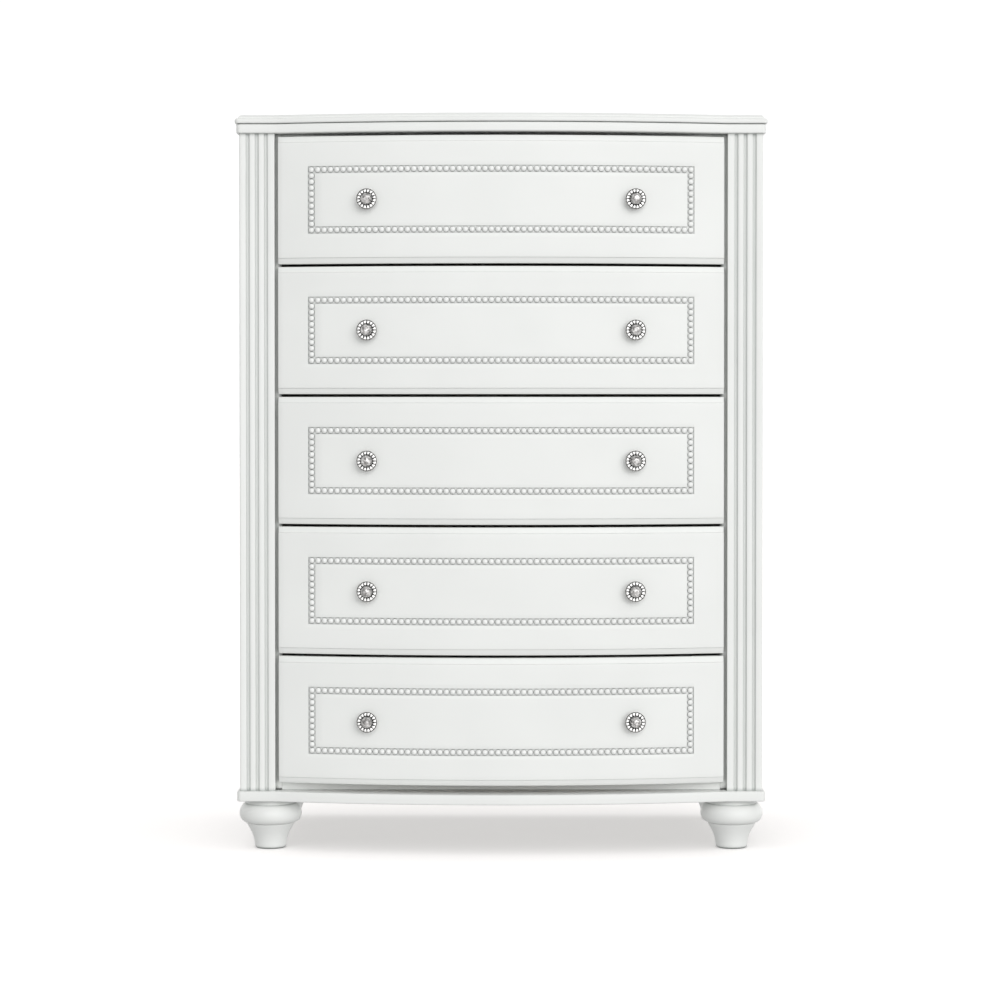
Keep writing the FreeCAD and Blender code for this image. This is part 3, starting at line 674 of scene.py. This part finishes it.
def noise(tree, place, scale, detail=3.0, roughness=0.55, stretch=None):
    """A noise factor; stretch scales the axes first, so grain can run along one of them."""
    if stretch:
        place = add_node(tree, "ShaderNodeMapping", {"Vector": place, "Scale": stretch}).outputs[0]
    inputs = {"Vector": place, "Scale": scale, "Detail": detail, "Roughness": roughness}
    return add_node(tree, "ShaderNodeTexNoise", inputs).outputs["Fac"]


def remap(tree, value, low, high, to_low, to_high):
    """Value moved from one range to another, and kept inside it."""
    inputs = {"Value": value, "From Min": low, "From Max": high}
    inputs.update({"To Min": to_low, "To Max": to_high})
    return add_node(tree, "ShaderNodeMapRange", inputs).outputs["Result"]


def blend_colour(tree, factor, first, second):
    """A colour between two, by a factor."""
    node = add_node(tree, "ShaderNodeMix", data_type="RGBA")
    for index, value in ((0, factor), (6, first), (7, second)):  # the colour mix's own sockets
        if isinstance(value, bpy.types.NodeSocket):
            tree.links.new(value, node.inputs[index])
        else:
            node.inputs[index].default_value = value
    return node.outputs[2]


def darker(colour, share):
    """A colour at a share of its brightness."""
    return tuple(c * share for c in colour[:3]) + (1.0,)


def along_axis(axis, stretch):
    """Scales that draw a noise out along one axis."""
    scales = [1.0, 1.0, 1.0]
    scales[axis] = stretch
    return tuple(scales)


def bumped(tree, shader, layers):
    """Adds bump layers, each a (height, strength, distance)."""
    normal = None
    for height, strength, distance in layers:
        inputs = {"Height": height, "Strength": strength, "Distance": distance}
        if normal is not None:
            inputs["Normal"] = normal
        normal = add_node(tree, "ShaderNodeBump", inputs).outputs["Normal"]
    tree.links.new(normal, shader.inputs["Normal"])


def edge_mask(tree, radius, gain):
    """Near 1 along arrises and 0 on flat faces, from how far a rounded normal turns away."""
    rounded = add_node(tree, "ShaderNodeBevel", {"Radius": radius}, samples=4).outputs["Normal"]
    flat = tree.nodes.new("ShaderNodeNewGeometry").outputs["Normal"]
    inputs = {0: rounded, 1: flat}
    dot = add_node(tree, "ShaderNodeVectorMath", inputs, operation="DOT_PRODUCT").outputs["Value"]
    return remap(tree, dot, 1.0, 1.0 - gain, 0.0, 1.0)


def painted_shade_mask(tree, distance, low, high):
    """Where shade is painted into a colour: near 1 deep in corners and grooves, and 0 on open
    faces.
    """
    inputs = {"Distance": distance}
    open_share = add_node(tree, "ShaderNodeAmbientOcclusion", inputs, samples=8).outputs["AO"]
    return remap(tree, open_share, high, low, 0.0, 1.0)


def painted(name, grain_axis, shade_colour, colour=None, roughness=0.36, reach=5 * MM, open_from=0.7):
    """Sprayed satin paint: faint grain, orange peel, rubbed arrises and painted shade in hollows.

    The painted shade spreads over the reach, and fades out where a point sees the share
    open_from of what is round it. A colour of its own isn't rubbed at the arrises.
    """
    material, tree, place, shader = new_material(name)
    worn = colour or PAINT_RUBBED
    colour = colour or PAINT_WHITE
    cloud = noise(tree, place, 6.0, 2.0)
    grain = noise(tree, place, 260.0, 4.0, 0.6, along_axis(grain_axis, 0.04))
    peel = noise(tree, place, 900.0, 2.0, 0.5)
    clouds = remap(tree, cloud, 0.35, 0.65, 0.0, 1.0)
    tone = blend_colour(tree, clouds, darker(colour, 0.975), colour)
    rub = add_node(
        tree,
        "ShaderNodeMath",
        {0: edge_mask(tree, 1.4 * MM, 0.25), 1: remap(tree, cloud, 0.3, 0.7, 0.25, 0.7)},
        operation="MULTIPLY",
    ).outputs[0]
    tone = blend_colour(tree, rub, tone, worn)
    # painted shade: in corners, grooves and recesses the colour turns toward the shade colour
    tone = blend_colour(tree, painted_shade_mask(tree, reach, 0.15, open_from), tone, shade_colour)
    sheen = remap(tree, grain, 0.3, 0.7, roughness - 0.04, roughness + 0.05)
    tree.links.new(tone, shader.inputs["Base Color"])
    tree.links.new(sheen, shader.inputs["Roughness"])
    shader.inputs["Specular IOR Level"].default_value = PAINT_SPECULAR
    bumped(tree, shader, [(grain, 0.10, 0.10 * MM), (peel, 0.07, 0.06 * MM)])
    return material


def box_wood(name, grain_axis):
    """Clear-sealed pale wood with growth lines along one axis."""
    material, tree, place, shader = new_material(name)
    stretch = along_axis(grain_axis, 0.06)
    warp = noise(tree, place, 3.0, 2.0, 0.5, stretch)
    lines = noise(tree, place, 95.0, 6.0, 0.62, stretch)
    fine = noise(tree, place, 700.0, 3.0, 0.6, stretch)
    tone = blend_colour(tree, remap(tree, lines, 0.36, 0.66, 0.0, 1.0), WOOD_PALE, WOOD_DARK)
    drift = remap(tree, warp, 0.35, 0.65, 0.0, 0.35)
    tone = blend_colour(tree, drift, tone, darker(WOOD_DARK, 0.86))
    pores = remap(tree, fine, 0.58, 0.75, 0.0, 0.45)
    tone = blend_colour(tree, pores, tone, darker(WOOD_DARK, 0.55))
    tree.links.new(tone, shader.inputs["Base Color"])
    tree.links.new(remap(tree, fine, 0.3, 0.7, 0.42, 0.6), shader.inputs["Roughness"])
    bumped(tree, shader, [(lines, 0.12, 0.2 * MM), (fine, 0.15, 0.08 * MM)])
    return material


def hardboard(name, colour):
    """Thin hardboard, painted off-white, with the fibres showing through."""
    material, tree, place, shader = new_material(name)
    fibre = noise(tree, place, 420.0, 5.0, 0.65)
    cloud = noise(tree, place, 5.0, 2.0, 0.5)
    clouds = remap(tree, cloud, 0.35, 0.65, 0.0, 1.0)
    tone = blend_colour(tree, clouds, colour, darker(colour, 0.97))
    fibres = remap(tree, fibre, 0.55, 0.75, 0.0, 0.35)
    tone = blend_colour(tree, fibres, tone, darker(colour, 0.7))
    tree.links.new(tone, shader.inputs["Base Color"])
    tree.links.new(remap(tree, fibre, 0.3, 0.7, 0.55, 0.75), shader.inputs["Roughness"])
    bumped(tree, shader, [(fibre, 0.25, 0.15 * MM)])
    return material


def zinc_steel(name):
    """Bright zinc-plated steel with rolling marks along Y and slight clouding."""
    material, tree, place, shader = new_material(name)
    marks = noise(tree, place, 500.0, 4.0, 0.6, along_axis(1, 0.03))
    cloud = noise(tree, place, 45.0, 3.0, 0.5)
    tone = blend_colour(tree, remap(tree, cloud, 0.3, 0.7, 0.0, 1.0), ZINC_DARK, ZINC_PALE)
    tree.links.new(tone, shader.inputs["Base Color"])
    tree.links.new(remap(tree, marks, 0.3, 0.7, 0.24, 0.42), shader.inputs["Roughness"])
    shader.inputs["Metallic"].default_value = 1.0
    bumped(tree, shader, [(marks, 0.12, 0.05 * MM)])
    return material


def nickel(name, colour):
    """Polished nickel, with near-black shade painted into its hollows."""
    material, tree, place, shader = new_material(name)
    haze = noise(tree, place, 260.0, 3.0, 0.5)
    # painted shade: the hollows between the petals and round the crystal go near black
    tone = blend_colour(tree, painted_shade_mask(tree, 3 * MM, 0.42, 0.74), colour, NICKEL_PAINTED_SHADE)
    tree.links.new(tone, shader.inputs["Base Color"])
    tree.links.new(remap(tree, haze, 0.3, 0.7, 0.26, 0.4), shader.inputs["Roughness"])
    shader.inputs["Metallic"].default_value = 0.8
    bumped(tree, shader, [(haze, 0.05, 0.05 * MM)])
    return material


def smoky_crystal(name):
    """Cut crystal with a foiled back: grey and glossy, with glints and dark refractions painted
    into its colour.
    """
    material, tree, place, shader = new_material(name)
    cells = add_node(tree, "ShaderNodeTexVoronoi", {"Vector": place, "Scale": 300.0})
    painted_glint = add_node(tree, "ShaderNodeSeparateColor", {"Color": cells.outputs["Color"]}).outputs[0]
    cloud = noise(tree, place, 120.0, 2.0, 0.5)
    # painted glints and refractions: random pale facets, then darker clouds
    tone = blend_colour(tree, painted_glint, CRYSTAL_GREY, CRYSTAL_PALE)
    tone = blend_colour(tree, remap(tree, cloud, 0.45, 0.6, 0.0, 0.5), tone, CRYSTAL_DARK)
    tree.links.new(tone, shader.inputs["Base Color"])
    tree.links.new(remap(tree, cloud, 0.3, 0.7, 0.03, 0.09), shader.inputs["Roughness"])
    shader.inputs["IOR"].default_value = 1.7
    shader.inputs["Metallic"].default_value = 0.35
    shader.inputs["Coat Weight"].default_value = 1.0
    shader.inputs["Coat Roughness"].default_value = 0.03
    return material


# each white paint below paints shade into its hollows, some more strongly: darkest beside the
# drawers and under the moulding, round the beads, in the flutes and in the feet's creases
paint_upright = painted("white_paint_upright", 2, PAINT_SHADE)
paint_across = painted("white_paint_across", 0, PAINT_SHADE, open_from=0.85)
paint_open = painted(
    "white_paint_open", 0, PAINT_SHADE, roughness=0.5, reach=3 * MM, open_from=0.5
)
paint_beads = painted(
    "white_paint_beads", 0, PAINT_SHADE_DARKEST, PAINT_BEAD, roughness=0.32, reach=4.5 * MM, open_from=0.9
)
paint_flutes = painted("white_paint_flutes", 2, PAINT_SHADE, reach=7 * MM, open_from=0.97)
paint_recess = painted(
    "white_paint_recess", 2, PAINT_SHADE_DARKEST, roughness=0.4, reach=9 * MM, open_from=0.78
)
paint_turned = painted("white_paint_turned", 2, PAINT_SHADE_DEEP, reach=12 * MM, open_from=0.72)
wood_along = box_wood("box_wood_along", 1)
wood_across = box_wood("box_wood_across", 0)
wood_upright = box_wood("box_wood_upright", 2)
back_fibre = hardboard("back_board_fibre", BACK_GREY)
zinc = zinc_steel("zinc_steel")
bright_nickel = nickel("knob_nickel", NICKEL_BRIGHT)
dull_nickel = nickel("knob_nickel_dull", NICKEL_DULL)
knob_glass = smoky_crystal("knob_crystal_cut")

# ---------------------------------------------------------------- the pieces

for number in DRAWERS:
    make_front(number, paint_across)
    make_beading(number, paint_beads)
    make_knob_metal(number, bright_nickel, dull_nickel)
    make_crystals(number, knob_glass)
    make_eased(f"drawer_{number}_sides", wood_along, BOX_EASE)
    make_eased(f"drawer_{number}_back", wood_across, BOX_EASE)

make_board("top_panel", TOP_OVERHANGS, TOP_PROFILE, paint_open)
make_board("top_moulding", MOULDING_OVERHANGS, MOULDING_PROFILE, paint_open)
make_board("base_board", BASE_OVERHANGS, BASE_PROFILE, paint_across)
make_eased("top_rail", paint_recess, CASE_EASE)
make_eased("bottom_rail", paint_open, CASE_EASE)
for side, word in zip(SIDES, ("left", "right")):
    make_pilaster(side, word, paint_flutes)
    make_foot(f"front_{word}", paint_turned)
    make_foot(f"rear_{word}", paint_turned)
    make_eased(f"{word}_side_panel", paint_upright, CASE_EASE)
    make_eased(f"{word}_stile", paint_recess, CASE_EASE)

# what the CAD's own pieces are made of, by the end of their names
KEPT_MATERIALS = {
    "back_panel": back_fibre,
    "bottom": wood_across,
    "cleats": wood_along,
    "blocks": wood_upright,
    "members": zinc,
    "bolts": zinc,
}
for name, node in frame["nodes"].items():
    for ending, material in KEPT_MATERIALS.items():
        if name.endswith(ending):
            for slot in node.material_slots:
                slot.material = material

# ---------------------------------------------------------------- floor, light and camera

FLOOR_HALF = 30.0
FLOOR_GLOW = 0.3  # the floor gives a little light, so the shade under the chest stays pale
WORLD_LIGHT = 0.44  # how strongly the surroundings light the chest
WORLD_SEEN = 1.05  # and how bright they are to the eye

# (name, strength, spread, azimuth, elevation), the angles in degrees, from the front
CHEST_LIGHTS = [
    ("key", 0.46, 60.0, 36.0, 36.0),
    ("fill", 2.28, 70.0, 15.0, 6.0),
    ("rear_right", 1.0, 60.0, 140.0, 9.0),
    ("rear_left", 0.9, 60.0, -140.0, 9.0),
]
FLOOR_LIGHTS = [("overhead", 1.5, 100.0, 0.0, 78.0)]


def make_floor():
    """A plain pale floor that fades into the pale surroundings."""
    made = bmesh.new()
    corners = [(-1, -1), (1, -1), (1, 1), (-1, 1)]
    made.faces.new([made.verts.new((FLOOR_HALF * x, FLOOR_HALF * y, 0.0)) for x, y in corners])
    mesh = bpy.data.meshes.new("floor")
    made.to_mesh(mesh)
    made.free()
    material, tree, place, shader = new_material("floor_pale")
    cloud = noise(tree, place, 2.0, 2.0)
    tone = blend_colour(tree, cloud, FLOOR_SHADED, FLOOR_PALE)
    tree.links.new(tone, shader.inputs["Base Color"])
    shader.inputs["Roughness"].default_value = 0.9
    shader.inputs["Specular IOR Level"].default_value = 0.1
    shader.inputs["Emission Color"].default_value = FLOOR_LIGHT
    shader.inputs["Emission Strength"].default_value = FLOOR_GLOW
    mesh.materials.append(material)
    floor = bpy.data.objects.new("floor", mesh)
    bpy.context.scene.collection.objects.link(floor)
    floor.visible_diffuse = False
    return floor


def floor_group(name, floor, state):
    """A light-linking group that holds the floor: it alone is lit, or it alone is not."""
    group = bpy.data.collections.new(name)
    group.objects.link(floor)
    group.collection_objects[0].light_linking.link_state = state
    return group


def add_soft_light(name, strength, spread, azimuth, elevation, group):
    """A distant soft light, at an azimuth to the right of the front and an elevation."""
    light = bpy.data.lights.new(name, "SUN")
    light.energy = strength
    light.angle = math.radians(spread)
    lamp = bpy.data.objects.new(name, light)
    lamp.rotation_euler = (math.radians(90 - elevation), 0.0, math.radians(azimuth))
    bpy.context.scene.collection.objects.link(lamp)
    lamp.light_linking.receiver_collection = group


def make_lights(floor):
    """Lights for the chest that leave the floor alone, and one for the floor alone."""
    for name, state, lights in (
        ("all_but_floor", "EXCLUDE", CHEST_LIGHTS),
        ("floor_only", "INCLUDE", FLOOR_LIGHTS),
    ):
        group = floor_group(name, floor, state)
        for light in lights:
            add_soft_light(*light, group)


def make_surroundings():
    """Pale surroundings: plain white to the eye, and a dimmer even light on the chest."""
    world = bpy.data.worlds.new("studio")
    bpy.context.scene.world = world
    world.use_nodes = True
    tree = world.node_tree
    background = tree.nodes["Background"]
    background.inputs["Color"].default_value = WHITE
    background.inputs["Strength"].default_value = WORLD_LIGHT
    backdrop = add_node(tree, "ShaderNodeBackground", {"Color": WHITE, "Strength": WORLD_SEEN})
    seen = tree.nodes.new("ShaderNodeLightPath").outputs["Is Camera Ray"]
    choice = tree.nodes.new("ShaderNodeMixShader")
    tree.links.new(seen, choice.inputs[0])
    tree.links.new(background.outputs[0], choice.inputs[1])
    tree.links.new(backdrop.outputs[0], choice.inputs[2])
    tree.links.new(choice.outputs[0], tree.nodes["World Output"].inputs["Surface"])


EYE_X = -0.002  # a touch to the left of the middle
EYE_HEIGHT = 0.80
EYE_DISTANCE = 4.7  # from the eye to the pilasters' faces
SENSOR_WIDTH = 36.0  # mm
LENS = 96.25  # mm
PITCH = 0.972  # degrees below level
SHIFT = -0.0574


def make_camera(face_y):
    """The camera, straight on and a little above the chest's middle."""
    camera = bpy.data.cameras.new("camera")
    camera.sensor_width = SENSOR_WIDTH
    camera.lens = LENS
    camera.shift_y = SHIFT
    rig = bpy.data.objects.new("camera", camera)
    rig.location = (EYE_X, face_y - EYE_DISTANCE, EYE_HEIGHT)
    rig.rotation_euler = (math.radians(90 - PITCH), 0.0, 0.0)
    bpy.context.scene.collection.objects.link(rig)
    bpy.context.scene.camera = rig


make_lights(make_floor())
make_surroundings()
make_camera(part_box("left_pilaster")[0].y)
bpy.context.scene.view_settings.view_transform = "Standard"
